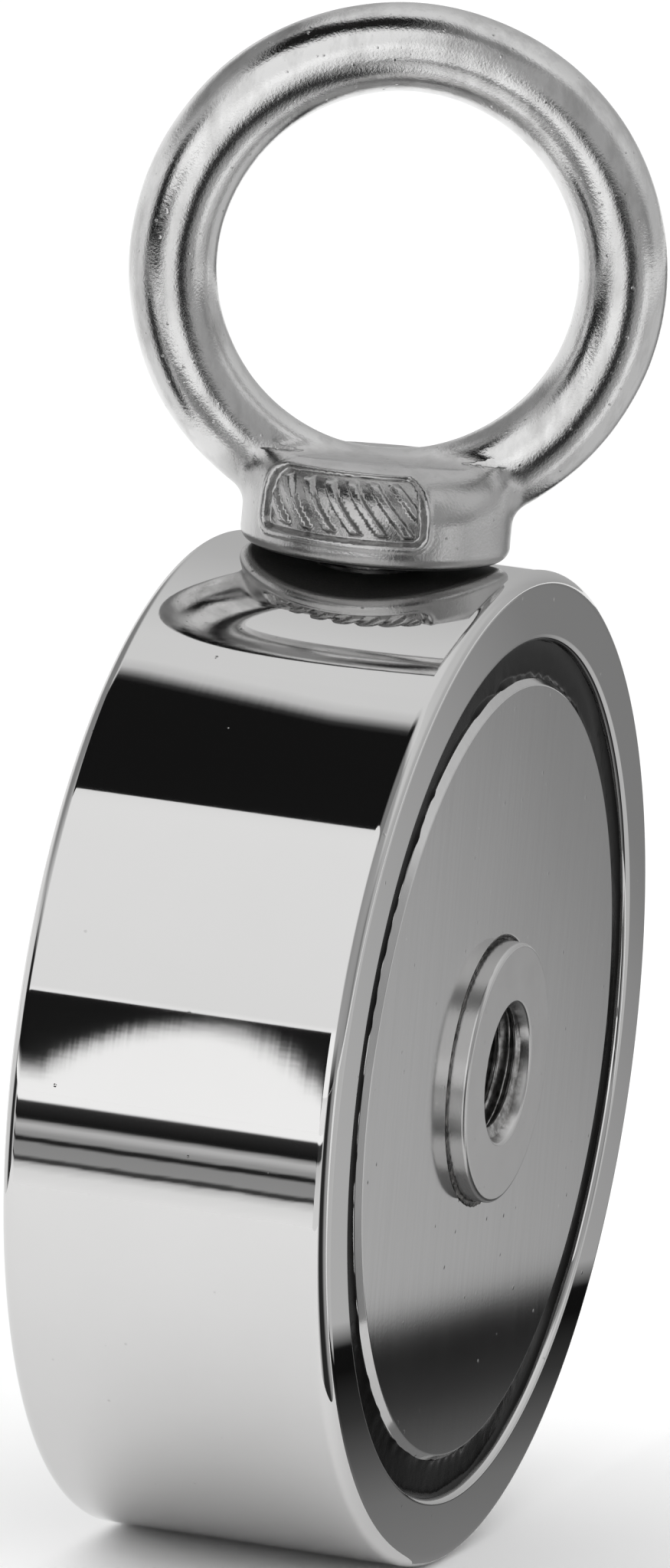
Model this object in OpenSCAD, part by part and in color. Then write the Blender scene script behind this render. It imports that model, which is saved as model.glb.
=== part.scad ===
// Double-sided fishing magnet with an eyebolt screwed into its rim.
// The disc's axis lies along X, the eyebolt points up along Z, and the
// origin is at the middle of the threaded hole through the disc.

/* [Body] */
// Outer diameter of the steel body
body_d = 75; // [62:0.5:92]
// Thickness of the body from rim face to rim face
body_t = 25.3; // [21:0.1:32]
// Radius of the rounded edge between side and rim face
edge_r = 1.1; // [0.4:0.1:1.6]
// Width of the rim around each pocket
rim_w = 5.2; // [4:0.1:7]
// Steel left between the side thread and each pocket floor
web_wall = 1.45; // [1:0.05:1.8]
// Chamfer at the mouth of each pocket
pocket_chamfer = 0.5; // [0.2:0.1:0.8]

/* [Magnets and resin] */
// Width of the resin ring between pocket wall and magnet
resin_w = 2.85; // [2:0.05:3.5]
// How far the magnet's face lies below the rim face
magnet_recess = 0.15; // [0.05:0.05:0.4]
// How far the resin lies below the rim face
resin_recess = 0.8; // [0.5:0.1:1.2]
// Width of the glue line between magnet and centre sleeve
glue_w = 0.3; // [0.2:0.05:0.5]

/* [Centre sleeve] */
// Outer diameter of the centre sleeve
sleeve_d = 19.6; // [16:0.1:24]
// How far the sleeve stands out past each rim face
sleeve_proud = 1.3; // [0.5:0.1:2]
// Radius of the sleeve's rounded outer edges
sleeve_edge_r = 0.35; // [0.2:0.05:0.45]
// Diameter of the countersink at each mouth of the threaded hole
mouth_d = 10.7; // [9.6:0.1:12]

/* [Thread] */
// Nominal diameter of the thread, for the eyebolt and both holes
thread_d = 10; // [8:0.5:12]
// Thread pitch, which sets the size of the hole before tapping
thread_pitch = 1.5; // [1:0.25:1.75]
// Radial running clearance of the shank in the side hole
thread_clearance = 0.05; // [0.02:0.01:0.1]

/* [Eyebolt] */
// Distance from the eye's centre to the collar's underside
eye_height = 21; // [19:0.1:26]
// Diameter of the eye, to the middle of its round bar
eye_d = 33.4; // [30:0.1:40]
// Diameter of the eye's round bar
bar_d = 6.7; // [5:0.1:8]
// Diameter of the collar
collar_d = 20.2; // [18:0.1:24]
// Height of the collar
collar_h = 7.1; // [6:0.1:8]
// Height at which the collar starts to narrow towards the eye
collar_wall_h = 3.2; // [2.5:0.1:4]
// Radius of the collar's rounded lower edge
collar_edge_r = 1.1; // [0.6:0.1:1.6]
// Length of the threaded shank
shank_l = 18; // [14:0.5:20]
// Gap between the collar and the highest line of the body
seat_gap = 0.3; // [0.2:0.05:0.5]
// Turn of the eye from the disc's plane, as it is screwed home
eye_turn = 19.4; // [0:0.1:90]

/* [Hidden] */
$fn = 96;
cut = 1;                                    // how far a cutting shape runs past a face
half_t = body_t / 2;
floor_x = thread_d / 2 + web_wall;          // pocket floor, from the middle of the disc
magnet_x = half_t - magnet_recess;          // magnet's face
resin_x = half_t - resin_recess;            // resin's surface
sleeve_x = half_t + sleeve_proud;           // sleeve's face
pocket_r = body_d / 2 - rim_w;
magnet_r = pocket_r - resin_w;
sleeve_r = sleeve_d / 2;
magnet_bore_r = sleeve_r + glue_w;
tap_r = (thread_d - thread_pitch) / 2;
side_hole_r = thread_d / 2 + thread_clearance;
side_hole_runout = 2.4;                     // side hole's depth past the end of the shank
seat_z = body_d / 2 + seat_gap;             // collar's underside
eye_z = seat_z + eye_height;
shank_chamfer = 1;
shank_gap = 0.05;                           // between the shank's top and the collar, which turns
neck_depth = 0.38;                          // collar's depth over its width, where it meets the eye
neck_width = 0.94;                          // width of the collar's top over that of its foot
overlap = 0.4;                              // how far the collar's upper and lower halves join

// Turns a shape drawn about Z so that it lies about the disc's axis
module about_x() rotate([0, 90, 0]) children();

// A flat ring on the front side, from one place on the disc's axis to another
module disc_ring(outer_r, inner_r, from_x, to_x)
    about_x() translate([0, 0, from_x]) difference() {
        cylinder(r = outer_r, h = to_x - from_x);
        translate([0, 0, -cut]) cylinder(r = inner_r, h = to_x - from_x + 2 * cut);
    }

// Half section of a round slab with rounded outer edges
module slab_section(r, half, e) {
    translate([0, -half]) square([r - e, 2 * half]);
    translate([0, e - half]) square([r, 2 * (half - e)]);
    for (s = [-1, 1]) translate([r - e, s * (half - e)]) circle(r = e);
}

// Half section of the pocket in the front face, with its chamfered mouth
module pocket_section()
    polygon([[0, floor_x], [pocket_r, floor_x], [pocket_r, half_t - pocket_chamfer],
        [pocket_r + pocket_chamfer + cut, half_t + cut], [0, half_t + cut]]);

// Half section of the countersink in the front end of the sleeve
module countersink_section()
    polygon([[0, sleeve_x - mouth_d / 2 + tap_r], [tap_r, sleeve_x - mouth_d / 2 + tap_r],
        [mouth_d / 2 + cut, sleeve_x + cut], [0, sleeve_x + cut]]);

module body() color("gainsboro") difference() {
    about_x() rotate_extrude() difference() {
        slab_section(body_d / 2, half_t, edge_r);
        pocket_section();
        mirror([0, 1]) pocket_section();
        translate([0, -half_t]) square([sleeve_r, body_t]);
    }
    translate([0, 0, seat_z - shank_l - side_hole_runout])
        cylinder(r = side_hole_r, h = shank_l + side_hole_runout + cut);
}

module centre_sleeve() color("silver") about_x() rotate_extrude() difference() {
    slab_section(sleeve_r, sleeve_x, sleeve_edge_r);
    countersink_section();
    mirror([0, 1]) countersink_section();
    translate([0, -sleeve_x - cut]) square([tap_r, 2 * (sleeve_x + cut)]);
}

module magnet() color("darkgray") disc_ring(magnet_r, magnet_bore_r, floor_x, magnet_x);

module resin_ring() color("black") disc_ring(pocket_r, magnet_r, floor_x, resin_x);

module glue_line() color("dimgray") disc_ring(magnet_bore_r, sleeve_r, floor_x, magnet_x);

// A thin slice of the collar's upper half, narrowed front to back by a share
module collar_slice(z, width, depth)
    translate([0, 0, z]) scale([width, depth, 1]) cylinder(d = collar_d, h = 0.1, $fn = 48);

module collar() {
    rotate_extrude() {
        square([collar_d / 2 - collar_edge_r, collar_wall_h]);
        translate([0, collar_edge_r]) square([collar_d / 2, collar_wall_h - collar_edge_r]);
        translate([collar_d / 2 - collar_edge_r, collar_edge_r]) circle(r = collar_edge_r);
    }
    hull() {
        collar_slice(collar_wall_h - overlap, 1, 1);
        collar_slice((collar_wall_h + collar_h) / 2, (1 + neck_width) / 2, 0.86);
        collar_slice(collar_h - 0.1, neck_width, neck_depth);
    }
}

// The eyebolt is one forging. Its shank is a node of its own, because a screw
// motion is a slide of the shank and a turn of the eye on it, and they are coupled.
module eyebolt_shank() color("lightgray") translate([0, 0, seat_z - shank_l]) {
    cylinder(r1 = thread_d / 2 - shank_chamfer, r2 = thread_d / 2, h = shank_chamfer);
    translate([0, 0, shank_chamfer])
        cylinder(d = thread_d, h = shank_l - shank_chamfer - shank_gap);
}

module eyebolt_eye() color("lightgray") translate([0, 0, seat_z]) rotate([0, 0, eye_turn]) {
    collar();
    translate([0, 0, eye_height]) rotate([90, 0, 0])
        rotate_extrude() translate([eye_d / 2, 0]) circle(d = bar_d);
}

body();
centre_sleeve();
magnet();  // magnet_front
mirror([1, 0, 0]) magnet();  // magnet_back
resin_ring();  // resin_ring_front
mirror([1, 0, 0]) resin_ring();  // resin_ring_back
glue_line();  // glue_line_front
mirror([1, 0, 0]) glue_line();  // glue_line_back
eyebolt_eye();
eyebolt_shank();
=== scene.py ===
import math

import bmesh
import bpy
import numpy as np
from mathutils import Matrix, Vector


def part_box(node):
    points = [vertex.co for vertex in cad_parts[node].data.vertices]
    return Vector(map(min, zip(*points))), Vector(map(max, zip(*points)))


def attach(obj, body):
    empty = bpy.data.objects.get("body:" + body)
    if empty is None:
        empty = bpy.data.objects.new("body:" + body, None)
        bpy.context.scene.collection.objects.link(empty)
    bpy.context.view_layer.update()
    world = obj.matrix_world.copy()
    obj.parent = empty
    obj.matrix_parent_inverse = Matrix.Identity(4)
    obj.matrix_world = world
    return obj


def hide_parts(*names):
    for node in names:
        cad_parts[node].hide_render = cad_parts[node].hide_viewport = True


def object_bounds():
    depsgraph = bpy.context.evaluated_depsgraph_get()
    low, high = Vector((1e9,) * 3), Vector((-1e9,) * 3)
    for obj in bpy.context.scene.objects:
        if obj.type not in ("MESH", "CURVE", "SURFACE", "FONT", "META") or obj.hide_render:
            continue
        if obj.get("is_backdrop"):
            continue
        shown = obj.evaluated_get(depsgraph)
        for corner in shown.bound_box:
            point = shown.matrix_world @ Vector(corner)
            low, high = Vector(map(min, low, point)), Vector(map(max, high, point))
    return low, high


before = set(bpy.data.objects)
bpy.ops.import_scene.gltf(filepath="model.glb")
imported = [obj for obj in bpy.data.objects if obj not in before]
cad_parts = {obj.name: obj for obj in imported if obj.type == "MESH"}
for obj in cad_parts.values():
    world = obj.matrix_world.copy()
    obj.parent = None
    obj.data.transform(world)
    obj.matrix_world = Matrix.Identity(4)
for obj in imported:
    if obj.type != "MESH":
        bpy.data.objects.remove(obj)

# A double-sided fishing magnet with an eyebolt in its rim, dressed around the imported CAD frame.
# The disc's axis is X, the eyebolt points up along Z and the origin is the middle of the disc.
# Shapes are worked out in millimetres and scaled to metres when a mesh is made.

cad_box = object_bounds()

MM = 0.001
UP = np.array([0.0, 0.0, 1.0])


# ---------------------------------------------------------------- sizes from the frame, in mm

def node_box(node):
    low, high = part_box(node)
    return np.array(low) / MM, np.array(high) / MM


BODY_R = node_box("body")[1][2]                # radius of the disc
HALF_T = node_box("body")[1][0]                # half the disc's thickness
MAGNET_R = node_box("magnet_front")[1][1]
MAGNET_X = node_box("magnet_front")[1][0]      # magnet's face
FLOOR_X = node_box("magnet_front")[0][0]       # pocket floor
POCKET_R = node_box("resin_ring_front")[1][1]
RESIN_X = node_box("resin_ring_front")[1][0]   # resin's surface
GLUE_R = node_box("glue_line_front")[1][1]     # magnet's bore
SLEEVE_R = node_box("centre_sleeve")[1][1]
SLEEVE_X = node_box("centre_sleeve")[1][0]     # sleeve's end face
SHANK_R = node_box("eyebolt_shank")[1][1]
SHANK_END_Z = node_box("eyebolt_shank")[0][2]
SEAT_Z = node_box("eyebolt_eye")[0][2]         # collar's underside
EYE_TOP_Z = node_box("eyebolt_eye")[1][2]

# Sizes that the frame's boxes don't hold
EDGE_R = 1.1             # rounded edge of the disc
POCKET_EDGE_R = 0.5      # rounded mouth of each pocket
MOUTH_R = 5.35           # mouth of the centre hole
MAGNET_BEVEL = 0.5       # bevelled outer edge of each magnet
PITCH = 1.5              # thread pitch
BAR_R = 3.35             # eye's round bar
EYE_R = 16.7             # eye, to the middle of its bar
EYE_TURN = math.radians(19.4)    # turn of the eye from the disc's plane
COLLAR_R = 10.1
COLLAR_WALL_H = 3.2      # where the collar starts to narrow towards the eye
COLLAR_TOP_H = 7.15
COLLAR_EDGE_R = 1.1      # rounded lower edge of the collar
NECK_HALF = 3.3          # half the collar's depth where it meets the eye
NET_STEP = 0.2           # grid of the eyebolt's surface net
PANEL_DEPTH = 0.6        # sunk panel on the collar
SIDE_HOLE_RUNOUT = 2.4   # side hole's depth past the end of the shank
SIDE_MOUTH = 0.75        # chamfer at the mouth of the side hole
EYE_Z = EYE_TOP_Z - EYE_R - BAR_R
TURN_STEPS = 256         # steps round the disc


# ---------------------------------------------------------------- small maths helpers

def smoothstep(low, high, value):
    t = np.clip((value - low) / (high - low), 0, 1)
    return t * t * (3 - 2 * t)


def waves(points, length, seed, count=14):
    """Smooth seeded noise of about unit size: a sum of sine waves in random directions."""
    rng = np.random.default_rng(seed)
    total = np.zeros(points.shape[:-1])
    for _ in range(count):
        way = rng.normal(size=3)
        way *= 2 * math.pi / (length * rng.uniform(0.6, 1.6) * np.linalg.norm(way))
        total += np.sin(points @ way + rng.uniform(0, 2 * math.pi))
    return total / math.sqrt(count / 2)


def round_waves(angle, seed, low, high):
    """Seeded noise round a circle, from low to high waves in a turn, of about unit size."""
    rng = np.random.default_rng(seed)
    total = np.zeros_like(angle)
    orders = range(low, high)
    for order in orders:
        total += rng.normal() * np.sin(order * angle + rng.uniform(0, 2 * math.pi))
    return total / math.sqrt(len(orders) / 2)


def thread_depth(phase):
    """0 at a crest and 1 at a root of a 60 degree thread, from the phase in turns."""
    from_crest = np.abs((phase + 0.5) % 1.0 - 0.5) * PITCH
    crest_half, flank = PITCH / 16, 0.354 * PITCH
    return np.clip((from_crest - crest_half) / flank, 0, 1)


# ---------------------------------------------------------------- mesh building

class Mesh:
    """Collects rings of points with optional exact normals, and the faces between them."""

    def __init__(self):
        self.points, self.normals, self.faces, self.count = [], [], [], 0

    def ring(self, points, normals=None):
        """Adds points and returns their indices. Normals that aren't given are worked out."""
        points = np.asarray(points, float)
        if normals is None:
            normals = np.full(points.shape, np.nan)
        self.points.append(points)
        self.normals.append(np.asarray(normals, float))
        first = self.count
        self.count += len(points)
        return np.arange(first, self.count)

    def strip(self, a, b, closed=True):
        """Quads between two rings of the same length."""
        if closed:
            quads = np.stack([a, np.roll(a, -1), np.roll(b, -1), b], 1)
        else:
            quads = np.stack([a[:-1], a[1:], b[1:], b[:-1]], 1)
        self.faces.extend(quads.tolist())

    def rings(self, indices, closed=True):
        for a, b in zip(indices, indices[1:]):
            self.strip(a, b, closed)

    def cap(self, ring, point):
        centre = self.ring([point])[0]
        for a, b in zip(ring, np.roll(ring, -1)):
            self.faces.append([int(a), int(b), int(centre)])

    def build(self, name, body, node_names, material):
        return make_piece(name, np.concatenate(self.points), self.faces, body, node_names,
                          material, np.concatenate(self.normals))


def make_piece(name, points, faces, body, node_names, material, normals):
    """A smooth mesh object from points in mm, riding on a body in place of CAD nodes."""
    mesh = bpy.data.meshes.new(name)
    mesh.from_pydata((points * MM).tolist(), [], faces)
    face_outwards(mesh)
    mesh.shade_smooth()
    set_normals(mesh, normals)
    piece = bpy.data.objects.new(name, mesh)
    bpy.context.scene.collection.objects.link(piece)
    mesh.materials.append(material)
    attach(piece, body)
    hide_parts(*node_names)
    return piece


def set_normals(mesh, normals):
    """Gives points their exact normals, turned to the faces' side. NaN keeps what's there."""
    worked_out = np.zeros(len(normals) * 3, np.float32)
    mesh.vertex_normals.foreach_get("vector", worked_out)
    worked_out = worked_out.reshape(-1, 3)
    given = ~np.isnan(normals[:, 0])
    along = np.sum(worked_out[given] * normals[given], 1, keepdims=True)
    worked_out[given] = normals[given] * np.where(along < 0, -1, 1)
    mesh.normals_split_custom_set_from_vertices(worked_out.tolist())


def face_outwards(mesh):
    """Turns all faces so that the closed shell's outside is its front."""
    shell = bmesh.new()
    shell.from_mesh(mesh)
    bmesh.ops.recalc_face_normals(shell, faces=shell.faces)
    if shell.calc_volume(signed=True) < 0:
        bmesh.ops.reverse_faces(shell, faces=shell.faces)
    shell.to_mesh(mesh)
    shell.free()


def rounded(corners, closed=False, steps=8):
    """A smooth outline through corners (x, r, radius) with arcs, as points and exact normals."""
    points, normals = [], []
    corners = [np.array(c, float) for c in corners]
    for i, corner in enumerate(corners):
        if not closed and i in (0, len(corners) - 1):
            other = corners[1] if i == 0 else corners[-2]
            way = (other[:2] - corner[:2]) * (1 if i == 0 else -1)
            way /= np.linalg.norm(way)
            points.append(corner[:2])
            normals.append([-way[1], way[0]])
            continue
        here = corner[:2]
        a = corners[i - 1][:2] - here
        b = corners[(i + 1) % len(corners)][:2] - here
        a, b = a / np.linalg.norm(a), b / np.linalg.norm(b)
        half = math.acos(np.clip(a @ b, -1, 1)) / 2
        radius = max(corner[2], 0.02)
        centre = here + (a + b) / np.linalg.norm(a + b) * radius / math.sin(half)
        start = here + a * radius / math.tan(half) - centre
        end = here + b * radius / math.tan(half) - centre
        turn = math.atan2(start[0] * end[1] - start[1] * end[0], start @ end)
        for t in np.linspace(0, turn, steps + 1):
            spoke = np.array([start[0] * math.cos(t) - start[1] * math.sin(t),
                              start[0] * math.sin(t) + start[1] * math.cos(t)])
            points.append(centre + spoke)
            normals.append(spoke / radius)
    return np.array(points), np.array(normals)


def disc_angles(steps=TURN_STEPS):
    return np.arange(steps) * 2 * math.pi / steps


def on_disc(x, r, angle):
    """Points at a place x on the disc's axis, r from it, with the angle from the top towards +Y."""
    x, r, angle = np.broadcast_arrays(x, r, angle)
    return np.stack([x, r * np.sin(angle), r * np.cos(angle)], -1)


def lathe(mesh, outline, normals, steps=TURN_STEPS):
    """Turns an outline of (x, r) about the disc's axis and returns the rings' indices."""
    angle = disc_angles(steps)
    rings = [mesh.ring(on_disc(x, r, angle), on_disc(nx, nr, angle))
             for (x, r), (nx, nr) in zip(outline, normals)]
    mesh.rings(rings)
    return rings


# ---------------------------------------------------------------- materials

def new_material(name):
    material = bpy.data.materials.new(name)
    material.use_nodes = True
    return material, Nodes(material.node_tree)


class Nodes:
    """Short calls for building a shader tree."""

    def __init__(self, tree):
        self.tree = tree
        self.shader = tree.nodes.get("Principled BSDF")
        self.coords = tree.nodes.new("ShaderNodeTexCoord").outputs["Object"]

    def add(self, kind, inputs=None, **settings):
        node = self.tree.nodes.new(kind)
        for key, value in settings.items():
            setattr(node, key, value)
        for key, value in (inputs or {}).items():
            if isinstance(value, bpy.types.NodeSocket):
                self.tree.links.new(value, node.inputs[key])
            else:
                node.inputs[key].default_value = value
        return node

    def noise(self, scale, detail=3.0, roughness=0.55, stretch=(1, 1, 1)):
        """Noise of about 1/scale metres, stretched along an axis by a small factor there."""
        mapping = self.add("ShaderNodeMapping", {"Vector": self.coords, "Scale": stretch})
        return self.add("ShaderNodeTexNoise", {
            "Vector": mapping.outputs["Vector"], "Scale": scale, "Detail": detail,
            "Roughness": roughness}).outputs["Fac"]

    def specks(self, scale, size, shift=0.0):
        """1 in small round spots scattered through a shifted cell pattern, 0 elsewhere."""
        mapping = self.add("ShaderNodeMapping", {
            "Vector": self.coords, "Location": (shift, shift, shift)})
        cells = self.add("ShaderNodeTexVoronoi", {"Vector": mapping.outputs["Vector"],
                                                  "Scale": scale})
        return self.ramp(cells.outputs["Distance"], [(0.0, 1.0), (size, 0.0)])

    def ramp(self, value, stops):
        """A grey ramp through (position, value) stops."""
        node = self.add("ShaderNodeValToRGB", {"Fac": value})
        elements = node.color_ramp.elements
        while len(elements) < len(stops):
            elements.new(0.5)
        for element, (position, level) in zip(elements, stops):
            element.position = position
            element.color = (level, level, level, 1)
        return node.outputs["Color"]

    def maths(self, operation, a, b=0.0, c=0.0):
        return self.add("ShaderNodeMath", {0: a, 1: b, 2: c}, operation=operation).outputs[0]

    def spread(self, value, low, high):
        """Maps 0..1 to low..high."""
        return self.maths("MULTIPLY_ADD", value, high - low, low)

    def mix(self, factor, a, b):
        """Mixes two colours."""
        node = self.add("ShaderNodeMix", data_type="RGBA")
        for key, value in ((0, factor), (6, a), (7, b)):
            if isinstance(value, bpy.types.NodeSocket):
                self.tree.links.new(value, node.inputs[key])
            else:
                node.inputs[key].default_value = value
        return node.outputs[2]

    def attribute(self, name):
        return self.add("ShaderNodeAttribute", attribute_name=name).outputs["Fac"]

    def radius(self):
        """Distance from the disc's axis, in metres."""
        parts = self.add("ShaderNodeSeparateXYZ", {"Vector": self.coords})
        flat = self.add("ShaderNodeCombineXYZ", {"Y": parts.outputs["Y"], "Z": parts.outputs["Z"]})
        return self.add("ShaderNodeVectorMath", {0: flat.outputs[0]},
                        operation="LENGTH").outputs["Value"]

    def bump(self, height, strength, distance, normal=None):
        inputs = {"Height": height, "Strength": strength, "Distance": distance}
        if normal is not None:
            inputs["Normal"] = normal
        return self.add("ShaderNodeBump", inputs).outputs["Normal"]

    def set(self, **inputs):
        """Sets or links the shader's inputs, with _ for a space in their names."""
        for key, value in inputs.items():
            socket = self.shader.inputs[key.replace("_", " ")]
            if isinstance(value, bpy.types.NodeSocket):
                self.tree.links.new(value, socket)
            else:
                socket.default_value = value


def grey(level, warmth=0.0):
    """A linear grey, leaning to red by a small share."""
    return (level * (1 + warmth), level, level * (1 - warmth), 1)


def mirror_nickel():
    """Polished nickel plate: faint haze, rare pits, specks of dirt and hairline scratches."""
    material, n = new_material("mirror_nickel")
    haze = n.noise(90, 4)
    hairlines = n.noise(900, 2, stretch=(1, 0.04, 0.04))
    pits = n.specks(300, 0.05)
    dirt = n.specks(170, 0.035, 3.7)
    colour = n.mix(haze, grey(0.640, 0.004), grey(0.615, 0.006))
    colour = n.mix(n.maths("MULTIPLY", pits, 0.5), colour, grey(0.25, 0.02))
    rough = n.spread(haze, 0.015, 0.045)
    rough = n.maths("MULTIPLY_ADD", dirt, 0.25, rough)
    normal = n.bump(hairlines, 0.045, 0.00002)
    normal = n.bump(pits, 0.35, 0.00005, normal)
    n.set(Base_Color=colour, Metallic=1.0, Roughness=rough, Normal=normal)
    return material


def sleeve_nickel():
    """Turned steel under satin nickel, with fine rings, small dark stains and painted shade inside
    its bore.
    """
    material, n = new_material("sleeve_nickel")
    cloud = n.noise(350, 4)
    grain = n.noise(5200, 3)
    rings = n.add("ShaderNodeTexNoise", {"W": n.maths("MULTIPLY", n.radius(), 6200.0),
                                         "Scale": 1.0, "Detail": 2.0},
                  noise_dimensions="1D").outputs["Fac"]
    stains = n.specks(700, 0.10, 1.3)
    in_cm = n.maths("MULTIPLY", n.radius(), 100.0)
    # Mask of the bore's inside, for its painted shade.
    bore = n.ramp(in_cm, [(0.505, 1.0), (0.525, 0.0)])
    bore_shade_patches = n.ramp(n.noise(1500, 4), [(0.38, 0.30), (0.60, 1.0)])
    colour = n.mix(cloud, grey(0.52, 0.006), grey(0.60, 0.004))
    colour = n.mix(n.maths("MULTIPLY", stains, 0.45), colour, grey(0.18, 0.03))
    # Painted shade: the bore's inside is darkened in patches towards grey 0.20.
    colour = n.mix(n.maths("MULTIPLY", bore, bore_shade_patches), colour, grey(0.20, 0.02))
    rough = n.spread(cloud, 0.18, 0.30)
    normal = n.bump(rings, 0.10, 0.00002)
    normal = n.bump(grain, 0.10, 0.00002, normal)
    n.set(Base_Color=colour, Metallic=1.0, Roughness=rough, Normal=normal)
    return material


def magnet_nickel():
    """Satin nickel on a sintered magnet: faint vertical brushing, pinholes and scuffs."""
    material, n = new_material("magnet_nickel")
    cloud = n.noise(60, 4)
    brushing = n.noise(1900, 3, stretch=(1, 1, 0.035))
    grain = n.noise(4200, 3)
    pinholes = n.specks(420, 0.075, 5.1)
    scuffs = n.specks(330, 0.06, 8.3)
    colour = n.mix(cloud, grey(0.56, 0.004), grey(0.63, 0.002))
    colour = n.mix(n.ramp(brushing, [(0.40, 0.0), (0.75, 0.16)]), colour, grey(0.42, 0.01))
    colour = n.mix(n.maths("MULTIPLY", pinholes, 0.85), colour, grey(0.20, 0.02))
    colour = n.mix(n.maths("MULTIPLY", scuffs, 0.5), colour, grey(0.85))
    rough = n.maths("MULTIPLY_ADD", brushing, 0.03, n.spread(cloud, 0.07, 0.12))
    normal = n.bump(brushing, 0.05, 0.00002)
    normal = n.bump(grain, 0.05, 0.00002, normal)
    normal = n.bump(pinholes, 0.5, 0.00005, normal)
    n.set(Base_Color=colour, Metallic=1.0, Roughness=rough, Normal=normal)
    return material


def black_resin():
    """Glossy black potting resin with small waves and dust."""
    material, n = new_material("black_resin")
    cloud = n.noise(220, 4)
    ripples = n.noise(700, 3)
    dust = n.specks(1400, 0.05, 2.2)
    colour = n.mix(cloud, grey(0.002), grey(0.007, 0.03))
    colour = n.mix(n.maths("MULTIPLY", dust, 0.20), colour, grey(0.10))
    rough = n.maths("MULTIPLY_ADD", dust, 0.3, n.spread(cloud, 0.07, 0.20))
    n.set(Base_Color=colour, Roughness=rough, Normal=n.bump(ripples, 0.25, 0.00012))
    n.set(IOR=1.25, Specular_IOR_Level=0.15)
    return material


def dark_glue():
    """Hardened glue squeezed out beside the sleeve, dark with pale flecks."""
    material, n = new_material("dark_glue")
    cloud = n.noise(1300, 4)
    lumps = n.noise(2600, 3)
    colour = n.mix(n.ramp(cloud, [(0.45, 0.0), (0.7, 1.0)]), grey(0.018, 0.03), grey(0.16, 0.04))
    rough = n.spread(cloud, 0.18, 0.42)
    n.set(Base_Color=colour, Roughness=rough, Normal=n.bump(lumps, 0.5, 0.00015))
    n.set(IOR=1.5)
    return material


def forged_plate():
    """Bright zinc plate on a forging: grainy and pitted, satin at the collar, with painted shade in
    its sunk panel and creases and a painted dark, matt shade under the collar.
    """
    material, n = new_material("forged_plate")
    cloud = n.noise(170, 4)
    runs = n.noise(420, 4, 0.6, stretch=(1, 1, 0.35))
    orange_peel = n.noise(520, 3)
    grain = n.noise(5000, 4, 0.6)
    pits = n.specks(900, 0.12, 4.4)
    painted_hollow_shade = n.attribute("painted_hollow_shade")
    forged = n.attribute("forged")
    under = n.attribute("underside")
    colour = n.mix(cloud, grey(0.60, 0.004), grey(0.72, 0.002))
    colour = n.mix(n.ramp(runs, [(0.46, 0.0), (0.70, 0.55)]), colour, grey(0.34, 0.01))
    colour = n.mix(n.maths("MULTIPLY", forged, 0.70), colour, grey(0.42, 0.004))
    colour = n.mix(n.maths("MULTIPLY", pits, 0.5), colour, grey(0.22, 0.02))
    # Painted shade: the sunk panel and the crease between bar and collar are darkened towards grey
    # 0.36.
    colour = n.mix(n.maths("MULTIPLY", painted_hollow_shade, 0.35), colour, grey(0.36, 0.015))
    # Painted shade: the collar's underside is painted near black, grey 0.02 to 0.11.
    colour = n.mix(under, colour, n.mix(grain, grey(0.02, 0.02), grey(0.11, 0.02)))
    rough = n.spread(cloud, 0.05, 0.10)
    rough = n.maths("MULTIPLY_ADD", runs, 0.05, rough)
    rough = n.maths("MULTIPLY_ADD", forged, 0.12, rough)
    rough = n.maths("MULTIPLY_ADD", under, 0.35, rough)
    normal = n.bump(orange_peel, 0.13, 0.00012)
    normal = n.bump(grain, n.maths("MULTIPLY_ADD", forged, 0.14, 0.34), 0.00005, normal)
    normal = n.bump(pits, 0.35, 0.00008, normal)
    # Painted shade: the collar's underside is also made non-metallic, so that it stays dark.
    metal_outside_painted_shade = n.maths("SUBTRACT", 1.0, under)
    n.set(Base_Color=colour, Metallic=metal_outside_painted_shade, Roughness=rough, Normal=normal)
    return material


# ---------------------------------------------------------------- the disc's pieces

def steel_body(material):
    """The turned body: two pockets, a bore, rounded edges and the threaded side hole."""
    mesh = Mesh()
    flat = HALF_T - EDGE_R
    half = [(flat, BODY_R, 0), (HALF_T, BODY_R, EDGE_R), (HALF_T, POCKET_R, POCKET_EDGE_R),
            (FLOOR_X, POCKET_R, 0.15), (FLOOR_X, SLEEVE_R, 0.1)]
    corners = half + [(-x, r, e) for x, r, e in reversed(half)]
    outline, normals = rounded(corners)
    rings = lathe(mesh, outline[1:-1], normals[1:-1])
    band_of_side(mesh, rings[0], rings[-1], outline[1][0])
    return mesh.build("steel_body", "magnet", ["body"], material)


def band_of_side(mesh, front, back, edge_x):
    """The disc's cylindrical side between two rings, with the hole for the shank at the top."""
    patch = 14                                   # steps of the turn on each side of the hole
    across = 2 * patch
    columns = np.arange(patch, TURN_STEPS - patch + 1)
    angle = disc_angles()
    levels = np.linspace(edge_x, -edge_x, across + 1)
    rows = [front[columns]]
    for x in levels[1:-1]:
        points = on_disc(x, BODY_R, angle[columns])
        rows.append(mesh.ring(points, on_disc(0.0, 1.0, angle[columns])))
    rows.append(back[columns])
    mesh.rings(rows, closed=False)
    around = np.arange(-patch, patch + 1)
    top_front = front[around]                    # from -Y to +Y along the front edge
    top_back = back[around]
    right = [row[0] for row in rows]             # +Y edge of the patch, front to back
    left = [row[-1] for row in rows]
    side_hole(mesh, np.concatenate([top_front[:-1], right[:-1], top_back[::-1][:-1],
                                    left[::-1][:-1]]))


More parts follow.
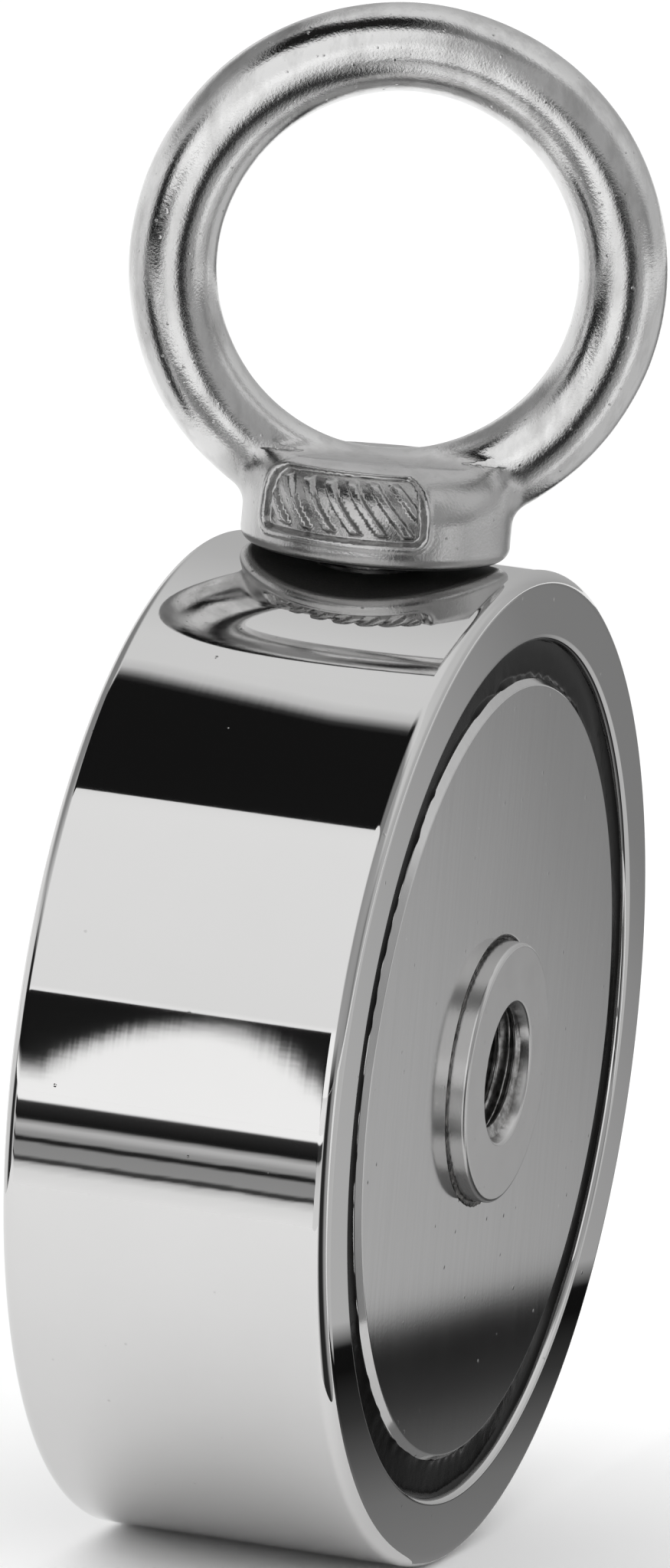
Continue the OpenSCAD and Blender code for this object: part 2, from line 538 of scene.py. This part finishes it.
def side_hole(mesh, border):
    """Fills a square border on the disc's side down to a blind threaded hole in its middle."""
    edge = np.concatenate(mesh.points)[border]
    edge_turn = np.arctan2(edge[:, 1], edge[:, 2])
    way = np.arctan2(edge_turn * BODY_R, edge[:, 0])
    hole_r = SHANK_R + 0.05
    mouth_r = SHANK_R + SIDE_MOUTH
    circle_x, circle_y = np.cos(way), np.sin(way)
    mouth_turn = np.arcsin(mouth_r * circle_y / BODY_R)
    rings = [border]
    for t in 1 - np.linspace(0, 1, 11)[1:] ** 0.8:
        x = mouth_r * circle_x * (1 - t) + edge[:, 0] * t
        turn = mouth_turn * (1 - t) + edge_turn * t
        rings.append(mesh.ring(on_disc(x, BODY_R, turn), on_disc(0.0, 1.0, turn)))

    def hole_ring(radius, z):
        return mesh.ring(np.stack([radius * circle_x, radius * circle_y,
                                   np.broadcast_to(z, way.shape)], 1))

    def surface(radius):
        return np.sqrt(BODY_R ** 2 - (radius * circle_y) ** 2)

    rings.append(hole_ring(mouth_r - 0.05, surface(mouth_r) - 0.03))
    rings.append(hole_ring(hole_r + 0.05, surface(hole_r) - 0.68))
    rings.append(hole_ring(hole_r, surface(hole_r) - SIDE_MOUTH))
    thread_top, thread_bottom = BODY_R - 1.6, SHANK_END_Z - 0.6
    for z in np.arange(thread_top, thread_bottom, -PITCH / 14):
        fade = smoothstep(thread_top, thread_top - 1.0, z) * smoothstep(
            thread_bottom, thread_bottom + 1.0, z)
        depth = 1 - thread_depth(z / PITCH - way / (2 * math.pi) + 0.5)
        rings.append(hole_ring(hole_r - 0.85 * depth * fade, z))
    bottom = SHANK_END_Z - SIDE_HOLE_RUNOUT
    rings.append(hole_ring(hole_r, bottom + 0.5))
    rings.append(hole_ring(hole_r - 0.1, bottom))
    mesh.rings(rings)
    mesh.cap(rings[-1], [0, 0, bottom])


def ring_magnet(side, material):
    """A ring magnet with a bevelled outer edge and a rounded bore."""
    mesh = Mesh()
    corners = [(FLOOR_X, GLUE_R, 0.1), (FLOOR_X, MAGNET_R, 0.1),
               (MAGNET_X - MAGNET_BEVEL, MAGNET_R, 0.2),
               (MAGNET_X, MAGNET_R - MAGNET_BEVEL, 0.2), (MAGNET_X, GLUE_R, 0.22)]
    outline, normals = rounded(corners, closed=True)
    place_loop(mesh, outline, normals, side)
    name = "magnet_front" if side > 0 else "magnet_back"
    return mesh.build("ring_" + name, "magnet", [name], material)


def place_loop(mesh, outline, normals, side):
    """A closed outline turned about the disc's axis, on the front (1) or the back (-1)."""
    flip = np.array([side, 1])
    if side < 0:
        outline, normals = outline[::-1], normals[::-1]
    rings = lathe(mesh, outline * flip, normals * flip)
    mesh.strip(rings[-1], rings[0])


def resin_fill(side, material):
    """Potting resin between magnet and pocket wall: it climbs both walls and is uneven."""
    mesh = Mesh()
    steps = 2 * TURN_STEPS
    angle = disc_angles(steps)
    seed = 11 if side > 0 else 12
    climb_in = 0.20 + 0.05 * round_waves(angle, seed, 3, 40) + 0.035 * round_waves(
        angle, seed + 10, 30, 110)
    climb_out = 0.24 + 0.05 * round_waves(angle, seed + 20, 3, 30)
    level = RESIN_X - 0.06 + 0.03 * round_waves(angle, seed + 40, 1, 12)
    rings = [mesh.ring(on_disc(side * FLOOR_X, POCKET_R, angle)),
             mesh.ring(on_disc(side * FLOOR_X, MAGNET_R, angle))]
    for t in np.linspace(0, 1, 15):
        s = 0.5 - 0.5 * math.cos(math.pi * t)
        r = MAGNET_R + (POCKET_R - MAGNET_R) * s
        near, far = math.exp(-(r - MAGNET_R) / 0.35), math.exp(-(POCKET_R - r) / 0.35)
        x = level + np.clip(climb_in, 0.05, 0.45) * near + np.clip(climb_out, 0.1, 0.5) * far
        rings.append(mesh.ring(on_disc(side * x, r, angle)))
    for a, b in zip(rings, rings[1:] + rings[:1]):
        mesh.strip(*((a, b) if side < 0 else (b, a)))
    name = "resin_ring_front" if side > 0 else "resin_ring_back"
    return mesh.build("potting_" + name, "magnet", [name], material)


def glue_bead(side, material):
    """The glue line beside the sleeve: a ragged bead, sunk where the glue ran short on top."""
    mesh = Mesh()
    steps = 3 * TURN_STEPS
    angle = disc_angles(steps)
    seed = 31 if side > 0 else 32
    ragged = round_waves(angle, seed, 5, 90)
    slow = round_waves(angle, seed + 5, 1, 7)
    short = np.exp(-((angle - math.pi) / 0.45 - math.pi / 0.45) ** 2) + np.exp(
        -(angle / 0.45) ** 2)
    height = np.clip(0.07 + 0.035 * ragged + 0.03 * slow, 0.01, 0.2) - 0.5 * short
    width = np.clip(0.10 + 0.05 * round_waves(angle, seed + 9, 4, 90) + 0.03 * slow, 0.02, 0.3)
    outline = [(FLOOR_X, GLUE_R), (FLOOR_X, SLEEVE_R)]
    rings = [mesh.ring(on_disc(side * x, r, angle)) for x, r in outline]
    for t in np.linspace(0, math.pi / 2, 7):
        x = MAGNET_X + height * math.cos(t) * (1 + 0.1 * ragged * math.sin(2 * t))
        r = SLEEVE_R + 0.01 + (GLUE_R - SLEEVE_R + width) * math.sin(t)
        rings.append(mesh.ring(on_disc(side * x, r, angle)))
    rings.append(mesh.ring(on_disc(side * (MAGNET_X - 0.05), GLUE_R, angle)))
    for a, b in zip(rings, rings[1:] + rings[:1]):
        mesh.strip(*((a, b) if side < 0 else (b, a)))
    name = "glue_line_front" if side > 0 else "glue_line_back"
    return mesh.build("bead_" + name, "magnet", [name], material)


def threaded_sleeve(material):
    """The centre sleeve: rounded ends, relieved mouths and a real thread between them."""
    mesh = Mesh()
    tap_r = SHANK_R - PITCH / 2
    relief_r = SHANK_R + 0.05
    thread_x = SLEEVE_X - 0.7
    half = [(thread_x, relief_r, 0), (SLEEVE_X, MOUTH_R, 0.3), (SLEEVE_X, SLEEVE_R, 0.35)]
    corners = half + [(-x, r, e) for x, r, e in reversed(half)]
    outline, normals = rounded(corners)
    steps = 160
    rings = lathe(mesh, outline, normals, steps)
    angle = disc_angles(steps)
    inner = [rings[-1]]
    for x in np.arange(-thread_x + 0.06, thread_x, PITCH / 20):
        start = smoothstep(thread_x, thread_x - 0.5, abs(x))
        depth = thread_depth(x / PITCH + angle / (2 * math.pi))
        radius = relief_r + start * (tap_r - relief_r) * (1 - depth)
        inner.append(mesh.ring(on_disc(x, radius, angle)))
    inner.append(rings[0])
    mesh.rings(inner)
    return mesh.build("threaded_sleeve", "magnet", ["centre_sleeve"], material)


# ---------------------------------------------------------------- the eyebolt

def smooth_union(a, b, k):
    """Two distances joined with a fillet of about k."""
    h = np.clip(0.5 + 0.5 * (b - a) / k, 0, 1)
    return b * (1 - h) + a * h - k * h * (1 - h)


def panel_relief(p):
    """Depth of the collar's sunk panel in mm: a raised frame round a plain diagonal hatch."""
    around = np.arctan2(p[..., 0], -p[..., 1]) + math.radians(19.5)
    s = around * COLLAR_R
    z = p[..., 2] - 4.25
    half_s, half_z, corner = 6.9, 2.35, 0.9
    qs = np.abs(s) - half_s + corner
    qz = np.abs(z) - half_z + corner
    edge = np.hypot(np.maximum(qs, 0), np.maximum(qz, 0)) + np.minimum(
        np.maximum(qs, qz), 0) - corner
    sunk = PANEL_DEPTH * smoothstep(0.10, -0.25, edge)
    lip = 0.13 * np.exp(-((edge - 0.30) / 0.24) ** 2)
    slant = s + 0.9 * z
    rib_gap = 2.1
    rib = np.abs((slant + rib_gap / 2) % rib_gap - rib_gap / 2)
    ribs = 0.52 * smoothstep(0.60, 0.28, rib) * smoothstep(-0.40, -0.75, edge)
    front = smoothstep(1.0, -1.5, p[..., 1])
    return (sunk - lip - ribs) * front


def collar_distance(x, y, z):
    """Rough signed distance to the collar, which narrows to an oval neck above its wall."""
    rise = np.clip((z - COLLAR_WALL_H) / (COLLAR_TOP_H + 0.25 - COLLAR_WALL_H), 0, 1)
    shrink = np.sqrt(1 - rise ** 2)
    half_x = COLLAR_R - 0.5 * (1 - shrink)
    half_y = NECK_HALF + (COLLAR_R - NECK_HALF) * shrink
    share = np.sqrt((x / half_x) ** 2 + (y / half_y) ** 2) + 1e-9
    wall = (share - 1) * np.hypot(x, y) / share / np.maximum(1, half_x / half_y * 0.8)
    low = np.maximum(wall + COLLAR_EDGE_R, 0)
    deep = np.maximum(COLLAR_EDGE_R - z, 0)
    foot = np.where(z < COLLAR_EDGE_R, np.hypot(low, deep) - COLLAR_EDGE_R, wall)
    return np.maximum(np.maximum(foot, -z), z - COLLAR_TOP_H)


def eye_distance(p):
    """Signed distance to the eye and collar, about the collar's foot and in the eye's plane."""
    x, y, z = p[..., 0], p[..., 1], p[..., 2]
    from_axis = np.hypot(x, z - (EYE_Z - SEAT_Z))
    bar = np.hypot(from_axis - EYE_R, y) - BAR_R
    collar = collar_distance(x, y, z)
    solid = smooth_union(bar, collar, 1.0 + 0.6 * smoothstep(2.0, 4.0, np.abs(y)))
    solid = solid + panel_relief(p)
    uneven = 0.05 + 0.018 * waves(p, 11.0, 3) + 0.003 * waves(p, 3.0, 5)
    return solid + uneven * smoothstep(0.0, 1.5, z)


def net_of_cells(value):
    """Average crossing point of each grid cell that a zero surface passes, and the quads."""
    inside = value < 0
    shape = tuple(n - 1 for n in inside.shape)
    total, hits = np.zeros(shape + (3,)), np.zeros(shape)
    quads = []
    for axis in range(3):
        near = tuple(slice(None, -1) if k == axis else slice(None) for k in range(3))
        far = tuple(slice(1, None) if k == axis else slice(None) for k in range(3))
        crossed = inside[near] != inside[far]
        where = np.argwhere(crossed)
        a, b = value[near][crossed], value[far][crossed]
        point = where.astype(float)
        point[:, axis] += a / (a - b)
        u, v = [k for k in range(3) if k != axis]
        corner = []
        for du, dv in ((0, 0), (1, 0), (1, 1), (0, 1)):
            cell = where.copy()
            cell[:, u] -= du
            cell[:, v] -= dv
            np.add.at(total, tuple(cell.T), point)
            np.add.at(hits, tuple(cell.T), 1)
            corner.append(cell)
        quad = np.stack(corner, 1)
        flip = inside[near][crossed] == (axis == 1)
        quad[flip] = quad[flip][:, ::-1]
        quads.append(quad)
    cells = tuple(np.argwhere(hits > 0).T)
    number = np.full(shape, -1)
    number[cells] = np.arange(len(cells[0]))
    faces = np.concatenate(quads)
    faces = number[faces[..., 0], faces[..., 1], faces[..., 2]]
    return total[cells] / hits[cells][:, None], faces


def surface_net(distance, low, high, step):
    """Points, normals and quads of the surface where a distance is zero."""
    axes = [np.arange(a, b + step, step) for a, b in zip(low, high)]
    cells, faces = net_of_cells(distance(np.stack(np.meshgrid(*axes, indexing="ij"), -1)))
    points = cells * step + np.array([axis[0] for axis in axes])
    for _ in range(3):
        slope, level = gradient(distance, points)
        size = np.linalg.norm(slope, axis=1, keepdims=True)
        points = points - slope / size * np.clip(level[:, None] / size, -step, step)
    slope, _ = gradient(distance, points)
    return points, slope / np.linalg.norm(slope, axis=1, keepdims=True), faces


def gradient(distance, points, h=0.01):
    """Slope of a distance at points, and its value there."""
    level = distance(points)
    slope = np.stack([distance(points + h * unit) - distance(points - h * unit)
                      for unit in np.eye(3)], 1) / (2 * h)
    return slope, level


def shank(mesh):
    """The threaded shank under the collar, with its lead-in chamfer, in the collar's frame."""
    around = np.arange(144) * 2 * math.pi / 144

    def ring(radius, z):
        return mesh.ring(np.stack([radius * np.cos(around), radius * np.sin(around),
                                   np.broadcast_to(z, around.shape)], 1))

    end = SHANK_END_Z - SEAT_Z
    root = SHANK_R - 0.90
    neck = root - 0.15
    rings = [ring(neck, 0.4), ring(neck, -1.0)]
    for z in np.arange(-1.2, end + 0.05, -PITCH / 16):
        chamfer = min(SHANK_R, SHANK_R - 1.15 + (z - end) * 0.9)
        start = smoothstep(-1.2, -1.9, z)
        phase = (z + SEAT_Z) / PITCH - (around + EYE_TURN) / (2 * math.pi)
        radius = neck + start * (0.13 + (SHANK_R - 0.02 - root) * (1 - thread_depth(phase)))
        rings.append(ring(np.minimum(radius, chamfer), z))
    rings.append(ring(SHANK_R - 1.25, end))
    mesh.rings(rings)
    mesh.cap(rings[-1], [0, 0, end])
    mesh.cap(rings[0][::-1], [0, 0, 0.4])


def eyebolt(material):
    """Eye, collar and shank: one forging."""
    reach = EYE_R + BAR_R + 0.5
    points, normals, faces = surface_net(
        eye_distance, (-reach, -COLLAR_R - 0.5, -0.5),
        (reach, COLLAR_R + 0.5, EYE_TOP_Z - SEAT_Z + 0.5), NET_STEP)
    mesh = Mesh()
    mesh.ring(points, normals)
    mesh.faces.extend(faces.tolist())
    shank(mesh)
    turn = np.array(Matrix.Rotation(EYE_TURN, 3, "Z"))
    local = np.concatenate(mesh.points)
    mesh.points = [local @ turn.T + SEAT_Z * UP]
    mesh.normals = [np.concatenate(mesh.normals) @ turn.T]
    piece = mesh.build("forged_eyebolt", "lifting_eye", ["eyebolt_eye", "eyebolt_shank"],
                       material)
    mark_regions(piece, local)


def mark_regions(piece, local):
    """Stores painted shade for the sunk panel and the creases, where the forging is rough, and
    painted shade under the collar, for its material.
    """
    relief = np.maximum(panel_relief(local), 0) / PANEL_DEPTH
    # Painted shade: a mask of the sunk panel and the crease between bar and collar, which the
    # material darkens.
    creases = np.exp(-((local[:, 2] - 7.2) / 0.5) ** 2) * smoothstep(4.5, 3.5, np.abs(
        local[:, 1])) * smoothstep(9.5, 8.0, np.abs(local[:, 0])) * (np.abs(local[:, 1]) > 1.8)
    store(piece, "painted_hollow_shade", np.clip(0.7 * relief + 0.6 * creases, 0, 1))
    store(piece, "forged", smoothstep(8.6, 6.4, local[:, 2]) * smoothstep(
        13.0, 10.5, np.abs(local[:, 0])))
    # Painted shade: marks the collar's underside, which the material paints dark and matt.
    shade_below_collar = smoothstep(0.10, 0.0, local[:, 2]) * (np.hypot(local[:, 0], local[:, 1]) > SHANK_R)
    store(piece, "underside", np.clip(shade_below_collar, 0, 1))


def store(piece, name, values):
    """Keeps a number for each point as an attribute."""
    attribute = piece.data.attributes.new(name, "FLOAT", "POINT")
    attribute.data.foreach_set("value", np.asarray(values, np.float32))


# ---------------------------------------------------------------- stage, light and camera

def bare_nodes(tree):
    """An empty tree with the same short calls, for a world or a self-lit card."""
    tree.nodes.clear()
    n = Nodes.__new__(Nodes)
    n.tree = tree
    return n


def card(name, corners, paint):
    """A flat self-lit card that only reflections see, painted by its place in mm."""
    mesh = bpy.data.meshes.new(name)
    mesh.from_pydata([Vector(corner) * MM for corner in corners], [], [(0, 1, 2, 3)])
    piece = bpy.data.objects.new(name, mesh)
    bpy.context.scene.collection.objects.link(piece)
    material = bpy.data.materials.new(name)
    material.use_nodes = True
    n = bare_nodes(material.node_tree)
    n.coords = n.add("ShaderNodeTexCoord").outputs["Object"]
    place = n.add("ShaderNodeVectorMath", {0: n.coords, "Scale": 1 / MM}, operation="SCALE")
    parts = n.add("ShaderNodeSeparateXYZ", {"Vector": place.outputs[0]}).outputs
    shine = n.add("ShaderNodeEmission", {"Color": paint(n, *parts)})
    out = n.add("ShaderNodeOutputMaterial")
    n.tree.links.new(shine.outputs[0], out.inputs["Surface"])
    mesh.materials.append(material)
    piece.visible_camera = False
    piece.visible_diffuse = False
    piece.visible_shadow = False
    piece.visible_transmission = False
    piece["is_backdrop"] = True


def levels(n, value, stops):
    """Light levels along a value in mm, through (value, level) stops in rising order."""
    low, high = stops[0][0], stops[-1][0]
    share = n.add("ShaderNodeMapRange", {"Value": value, "From Min": low, "From Max": high})
    return n.ramp(share.outputs[0], [((v - low) / (high - low), level) for v, level in stops])


def degrees(n, a, b):
    """Direction of (b, a) in degrees."""
    return n.maths("MULTIPLY", n.maths("ARCTAN2", a, b), 180 / math.pi)


def surroundings(n, parts, over, around):
    """Soft white above and in front, and greyer to the left, the right and the rear."""
    sky = levels(n, over, [(-180, 0.40), (-100, 0.42), (-60, 0.62), (-20, 0.92), (20, 0.95),
                           (30, 1.12), (75.4, 1.08), (76.0, 1.32), (180, 1.32)])
    low = levels(n, around, [(-180, 0.60), (-145, 1.0), (-60, 1.0), (-20, 1.3), (0, 1.45),
                             (20, 1.45), (28, 0.50), (86, 0.42), (98, 0.25), (112, 0.60),
                             (180, 0.60)])
    high = levels(n, around, [(-180, 0.40), (-130, 0.30), (-80, 0.34), (-35, 0.85), (15, 0.85),
                              (35, 0.42), (88, 0.48), (100, 0.85), (150, 0.70), (180, 0.40)])
    sides = n.mix(levels(n, parts["Z"], [(0.22, 0.0), (0.42, 1.0)]), low, high)
    aside = n.add("ShaderNodeMapRange", {
        "Value": n.maths("ABSOLUTE", n.maths("ADD", parts["X"], 0.05)),
        "From Min": 0.34, "From Max": 0.52}, interpolation_type="SMOOTHSTEP").outputs[0]
    return n.mix(aside, sky, sides)


def upright_flags(n, parts, around, seen):
    """Two upright dark flags in front, a tall one on the left and a short one on the right."""
    left = levels(n, around, [(-63, 0.0), (-56, 1.0), (-38, 1.0), (-31, 0.0)])
    right = levels(n, around, [(23, 0.0), (31, 1.0), (50, 1.0), (62, 0.0)])
    tall = levels(n, parts["Z"], [(0.30, 1.0), (0.50, 0.0)])
    short = levels(n, parts["Z"], [(0.02, 1.0), (0.16, 0.0)])
    seen = n.mix(n.maths("MULTIPLY", left, tall), seen, grey(0.02))
    return n.mix(n.maths("MULTIPLY", right, short), seen, grey(0.02))


def studio_world():
    """The surroundings: white to the camera, even for matt faces, detailed in reflections."""
    world = bpy.data.worlds.new("studio")
    bpy.context.scene.world = world
    world.use_nodes = True
    n = bare_nodes(world.node_tree)
    way = n.add("ShaderNodeTexCoord").outputs["Generated"]
    parts = n.add("ShaderNodeSeparateXYZ", {"Vector": way}).outputs
    front = n.maths("MULTIPLY", parts["Y"], -1.0)
    over = degrees(n, front, parts["Z"])     # 0 straight up, 90 to the front
    around = degrees(n, parts["X"], front)   # 0 to the front, 90 to the right
    seen = upright_flags(n, parts, around, surroundings(n, parts, over, around))
    path = n.add("ShaderNodeLightPath")
    seen = n.mix(path.outputs["Is Diffuse Ray"], seen, grey(1.12))
    seen = n.mix(path.outputs["Is Camera Ray"], seen, grey(1.0))
    shine = n.add("ShaderNodeBackground", {"Color": seen})
    out = n.add("ShaderNodeOutputWorld")
    n.tree.links.new(shine.outputs[0], out.inputs["Surface"])


def pale_floor():
    """A wide matt floor that the disc stands on."""
    reach = 9.0
    mesh = bpy.data.meshes.new("floor")
    z = -BODY_R * MM
    mesh.from_pydata([(-reach, -reach, z), (reach, -reach, z), (reach, reach, z),
                      (-reach, reach, z)], [], [(0, 1, 2, 3)])
    piece = bpy.data.objects.new("floor", mesh)
    bpy.context.scene.collection.objects.link(piece)
    material, n = new_material("pale_floor")
    n.set(Base_Color=grey(0.95), Roughness=0.65)
    n.set(Specular_IOR_Level=0.2)
    mesh.materials.append(material)
    piece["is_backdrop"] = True


def table_strips(n, x, y, z):
    """The floor in front: the table's edge, its seams and the gap beyond it."""
    weave = n.spread(n.noise(900, 2, stretch=(1, 0.1, 1)), -2.0, 2.0)
    return levels(n, n.maths("ADD", y, weave), [
        (-290, 1.32), (-242, 1.32), (-231, 0.05), (-222, 0.035), (-180, 0.012), (-174, 0.02),
        (-168, 0.40), (-160, 0.68), (-154, 0.62), (-146, 0.42), (-141, 0.38), (-137, 0.02),
        (-133, 0.02), (-129, 0.36), (-115, 0.38), (-112, 0.06), (-109.5, 0.06), (-106.5, 0.72),
        (-100, 1.03), (-90, 1.13)])


def table_step(n, x, y, z):
    """The same table on the right, where only its dark edge shows."""
    return levels(n, y, [(-290, 1.32), (-242, 1.32), (-231, 0.05), (-178, 0.05), (-166, 0.75),
                         (-90, 0.95)])


def lit_arch(n, x, y, z):
    """A black board standing in front, with light spilling up it in an arch."""
    aside = n.maths("ADD", x, 80.0)
    fall = n.maths("MINIMUM", n.maths("MULTIPLY", n.maths("MULTIPLY", aside, aside), 0.36), 72.0)
    streaks = n.spread(n.noise(6500, 3, 0.7, stretch=(1, 1, 0.04)), -16.0, 16.0)
    level = n.maths("ADD", n.maths("ADD", z, fall), streaks)
    return levels(n, level, [(44, 1.32), (54, 1.0), (63, 0.40), (69, 0.10), (75, 0.012)])


def overhead_flag(n, x, y, z):
    """A flag overhead with a slanting soft rear edge, black on the left, grey on the right."""
    step = n.maths("MINIMUM", n.maths("MAXIMUM", n.maths("ADD", x, 133.0), 0.0), 21.0)
    edge = n.maths("MULTIPLY_ADD", step, 1.6, y)
    black = levels(n, edge, [(0, 0.010), (9, 0.05), (18, 0.30), (30, 0.75), (50, 0.92)])
    thin = levels(n, edge, [(-150, 0.28), (-40, 0.30), (10, 0.85), (50, 0.92)])
    return n.mix(levels(n, x, [(40, 0.0), (110, 1.0)]), black, thin)


def floor_behind(n, x, y, z):
    """The floor behind: the object's own dark reflection, and light falling off beyond it."""
    across = n.maths("ADD", n.maths("MULTIPLY", x, 0.977), n.maths("MULTIPLY", y, 0.211))
    along = n.maths("MULTIPLY_ADD", x, -2.4, y)
    near = levels(n, across, [(10, 0.26), (26, 0.20), (33, 0.13), (43, 0.045), (53, 0.007),
                              (62, 0.007)])
    far = levels(n, along, [(-90, 0.66), (-18, 0.54), (9, 0.49), (38, 0.42), (60, 0.34),
                            (78, 0.27), (160, 0.24)])
    return n.mix(levels(n, across, [(58, 0.0), (63, 1.0)]), near, far)


def flags_on_floor(n, x, y, z):
    """The floor in front of the two upright flags, which carries their dark on inwards."""
    around = degrees(n, x, n.maths("MULTIPLY", y, -1.0))
    return levels(n, around, [(-110, 0.90), (-66, 0.90), (-56, 0.03), (-40, 0.03), (-31, 1.10),
                              (22, 1.20), (31, 0.03), (48, 0.03), (60, 0.45), (76, 0.45)])


def fan(start, end, inner, outer, z):
    """Corners of a wedge of floor between two directions, counted from the front."""
    a = math.radians(start)
    b = math.radians(end)
    return [(inner * math.sin(a), -inner * math.cos(a), z),
            (outer * math.sin(a), -outer * math.cos(a), z),
            (outer * math.sin(b), -outer * math.cos(b), z),
            (inner * math.sin(b), -inner * math.cos(b), z)]


def on_floor(x_low, x_high, y_low, y_high):
    """Corners of a rectangle just above the floor, in mm."""
    z = -BODY_R + 0.05
    return [(x_low, y_low, z), (x_high, y_low, z), (x_high, y_high, z), (x_low, y_high, z)]


def studio_cards():
    """Everything that the polished faces mirror, apart from the world and the floor."""
    fan_z = -BODY_R + 0.1
    card("left_flag_foot", fan(-31, -105, 120, 8000, fan_z), flags_on_floor)
    card("right_flag_foot", fan(75, 23, 45, 8000, fan_z), flags_on_floor)
    card("table_edge", on_floor(-420, -6, -290, -90), table_strips)
    card("table_step", on_floor(-6, 300, -290, -90), table_step)
    card("rear_floor", on_floor(HALF_T - 0.35, 900, -6, 1500), floor_behind)
    foot_z = -BODY_R + 0.05
    card("front_board", [(-420, -291, foot_z), (-45, -291, foot_z), (-45, -291, 73),
                         (-420, -291, 73)], lit_arch)
    card("top_flag", [(-260, -226, 400), (300, -226, 400), (300, 48, 400), (-260, 48, 400)],
         overhead_flag)


def soft_light(name, place, size, power):
    """A soft square light that points at the object's middle."""
    light = bpy.data.lights.new(name, "AREA")
    light.shape = "SQUARE"
    light.size = size
    light.energy = power
    lamp = bpy.data.objects.new(name, light)
    lamp.location = place
    lamp.rotation_euler = (Vector((0, 0, 0.02)) - Vector(place)).to_track_quat(
        "-Z", "Y").to_euler()
    lamp.visible_glossy = False
    bpy.context.scene.collection.objects.link(lamp)


def camera():
    """Low view from a little to the right of the front, rolled a little, through a long lens."""
    azimuth, elevation, roll = math.radians(17.78), math.radians(9.74), math.radians(4.91)
    distance, rise, aside = 1.2953, 0.01966, 0.00028
    back = Vector((math.sin(azimuth) * math.cos(elevation),
                   -math.cos(azimuth) * math.cos(elevation), math.sin(elevation)))
    level = Vector((math.cos(azimuth), math.sin(azimuth), 0))
    upright = back.cross(level)
    right = math.cos(roll) * level + math.sin(roll) * upright
    up = -math.sin(roll) * level + math.cos(roll) * upright
    data = bpy.data.cameras.new("camera")
    data.sensor_width = 36
    data.lens = 398.1
    data.clip_start, data.clip_end = 0.05, 60
    eye = bpy.data.objects.new("camera", data)
    bpy.context.scene.collection.objects.link(eye)
    turn = Matrix((right, up, back)).transposed().to_4x4()
    eye.matrix_world = Matrix.Translation(back * distance + up * rise + right * aside) @ turn
    bpy.context.scene.camera = eye


# ---------------------------------------------------------------- put together

nickel, sleeve_metal, magnet_metal = mirror_nickel(), sleeve_nickel(), magnet_nickel()
resin, glue, forged = black_resin(), dark_glue(), forged_plate()

steel_body(nickel)
threaded_sleeve(sleeve_metal)
for face in (1, -1):
    ring_magnet(face, magnet_metal)
    resin_fill(face, resin)
    glue_bead(face, glue)
eyebolt(forged)

bpy.context.scene.view_settings.view_transform = "Standard"
studio_world()
pale_floor()
studio_cards()
soft_light("key", (-0.9, -0.7, 1.5), 1.2, 6)
camera()

boxes = [[list(corner) for corner in box] for box in (cad_box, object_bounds())]
